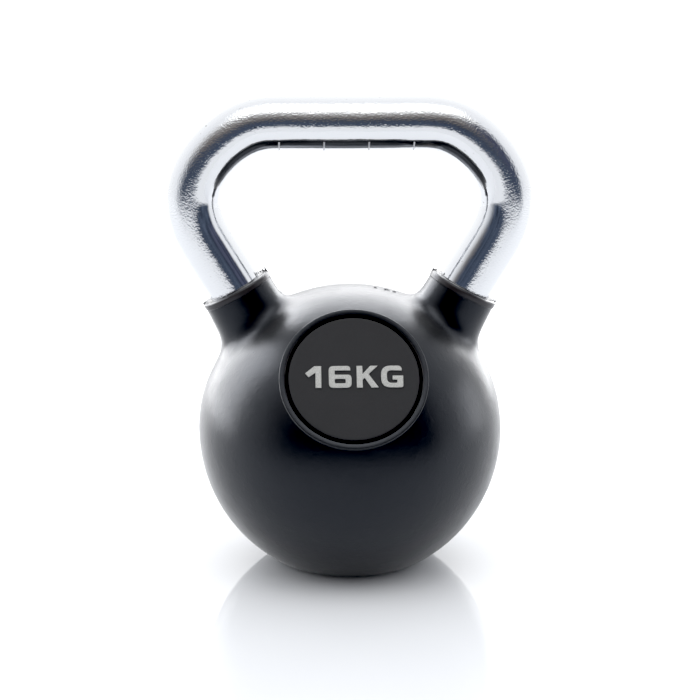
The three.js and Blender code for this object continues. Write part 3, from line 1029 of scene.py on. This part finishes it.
def room_light(n, direction, azimuth, elevation):
    """A dim room that brightens in layers from the floor up, patchy, with a darker corner on the right."""
    room = ROOM
    for start, full, color in ROOM_LAYERS:
        room = n.mix(n.fade(elevation, start, full), room, color)
    corner_height = n.math("MULTIPLY", n.fade(elevation, *CORNER_FOOT), n.fade(elevation, *CORNER_TOP))
    corner = n.math("MULTIPLY", n.fade(azimuth, *CORNER_LEFT), corner_height)
    room = n.mix(corner, room, CORNER)
    patches = n.ramp(n.noise(direction, scale=7.0, detail=3.0), 0.3, 0.7, 0.55, 1.35)
    return n.vector("SCALE", {0: room, "Scale": patches})[0]


def make_world():
    """White light all round, but for a dim room in front, which the chrome and the rubber reflect."""
    world = bpy.data.worlds.new("studio")
    bpy.context.scene.world = world
    world.use_nodes = True
    world.node_tree.nodes.clear()
    n = Nodes(world.node_tree)
    direction = n.add("ShaderNodeTexCoord").outputs["Generated"]
    parts = n.split(direction)
    x, y, z = parts["X"], parts["Y"], parts["Z"]
    degrees = 180 / math.pi
    elevation = n.math("MULTIPLY", n.math("ARCSINE", z), degrees)
    azimuth = n.math("MULTIPLY", n.math("ARCTAN2", x, n.math("MULTIPLY", y, -1.0)), degrees)
    walls = wall_light(n, y, elevation)
    room = room_light(n, direction, azimuth, elevation)
    in_room = n.math("MULTIPLY", n.fade(azimuth, *ROOM_LEFT), n.fade(azimuth, *ROOM_RIGHT))
    in_room = n.math("MULTIPLY", in_room, n.fade(elevation, *ROOM_FOOT))
    light = n.mix(in_room, walls, room)
    camera_ray = n.add("ShaderNodeLightPath").outputs["Is Camera Ray"]
    seen = n.mix(camera_ray, light, CAMERA_WHITE)
    background = n.add("ShaderNodeBackground", {"Color": seen, "Strength": 1.0})
    n.add("ShaderNodeOutputWorld", {0: background.outputs[0]})


def make_softbox(name, azimuth, elevation, spread, radiance, mirrored=True, *, lit, distance):
    """A large rectangular light facing the ball, whose size is two angles, for the pieces in lit only."""
    turn, lift = math.radians(azimuth), math.radians(elevation)
    away = Vector((math.sin(turn) * math.cos(lift), -math.cos(turn) * math.cos(lift), math.sin(lift)))
    data = bpy.data.lights.new(name, "AREA")
    data.shape = "RECTANGLE"
    data.size, data.size_y = (2 * distance * math.tan(math.radians(angle) / 2) for angle in spread)
    data.energy = radiance * math.pi * data.size * data.size_y
    lamp = bpy.data.objects.new(name, data)
    lamp.location = distance * away + Vector((0, 0, CENTRE_HEIGHT * MM))
    lamp.rotation_euler = away.to_track_quat("Z", "Y").to_euler()
    bpy.context.scene.collection.objects.link(lamp)
    receivers = bpy.data.collections.new(name + "_receivers")
    for piece in lit:
        receivers.objects.link(piece)
    lamp.light_linking.receiver_collection = receivers
    lamp.visible_glossy = mirrored


def make_camera():
    """A long lens, a little to the left of the front and looking down on the ball."""
    distance, height = 0.9, 0.33
    turn, pitch = math.radians(1.9), math.radians(13.13)
    data = bpy.data.cameras.new("camera")
    data.sensor_width = 36
    data.lens = 84.74
    camera = bpy.data.objects.new("camera", data)
    camera.location = (-distance * math.sin(turn), -distance * math.cos(turn), height)
    camera.rotation_euler = (math.pi / 2 - pitch, 0, -turn)
    bpy.context.scene.collection.objects.link(camera)
    bpy.context.scene.camera = camera


def set_view():
    """Plain colours, with the shadows a little deeper."""
    view = bpy.context.scene.view_settings
    view.view_transform = "Standard"
    view.use_curve_mapping = True
    view.curve_mapping.black_level = (BLACK_LEVEL,) * 3
    view.curve_mapping.update()


# ---- Assembly ----

make_camera()
jacket = make_jacket(rubber_material())
make_handle(chrome_material())
make_badge(badge_material())
character_look = character_material()
for name, left, outlines in glyph_outlines():
    make_glyph(name, left, outlines, character_look)

hidden_looks = {
    "iron_core": hidden_material(
        "cast_iron", (0.03, 0.03, 0.03, 1), (0.07, 0.065, 0.06, 1), metallic=0.9, roughness=0.7, scale=300
    ),
    "weld_bead": hidden_material(
        "weld", (0.12, 0.11, 0.10, 1), (0.3, 0.27, 0.25, 1), metallic=1.0, roughness=0.45, scale=500
    ),
    "adhesive": hidden_material(
        "adhesive", (0.4, 0.36, 0.26, 1), (0.5, 0.46, 0.36, 1), metallic=0.0, roughness=0.5, scale=200
    ),
}
for node, piece in NODES.items():
    for ending, look in hidden_looks.items():
        if node.endswith(ending):
            piece.data.materials.clear()
            piece.data.materials.append(look)

floor = make_floor()
make_world()
for light in RUBBER_LIGHTS:
    make_softbox(*light, lit=[jacket], distance=1.0)
for light in FLOOR_LIGHTS:
    make_softbox(*light, lit=floor, distance=4.0)
set_view()
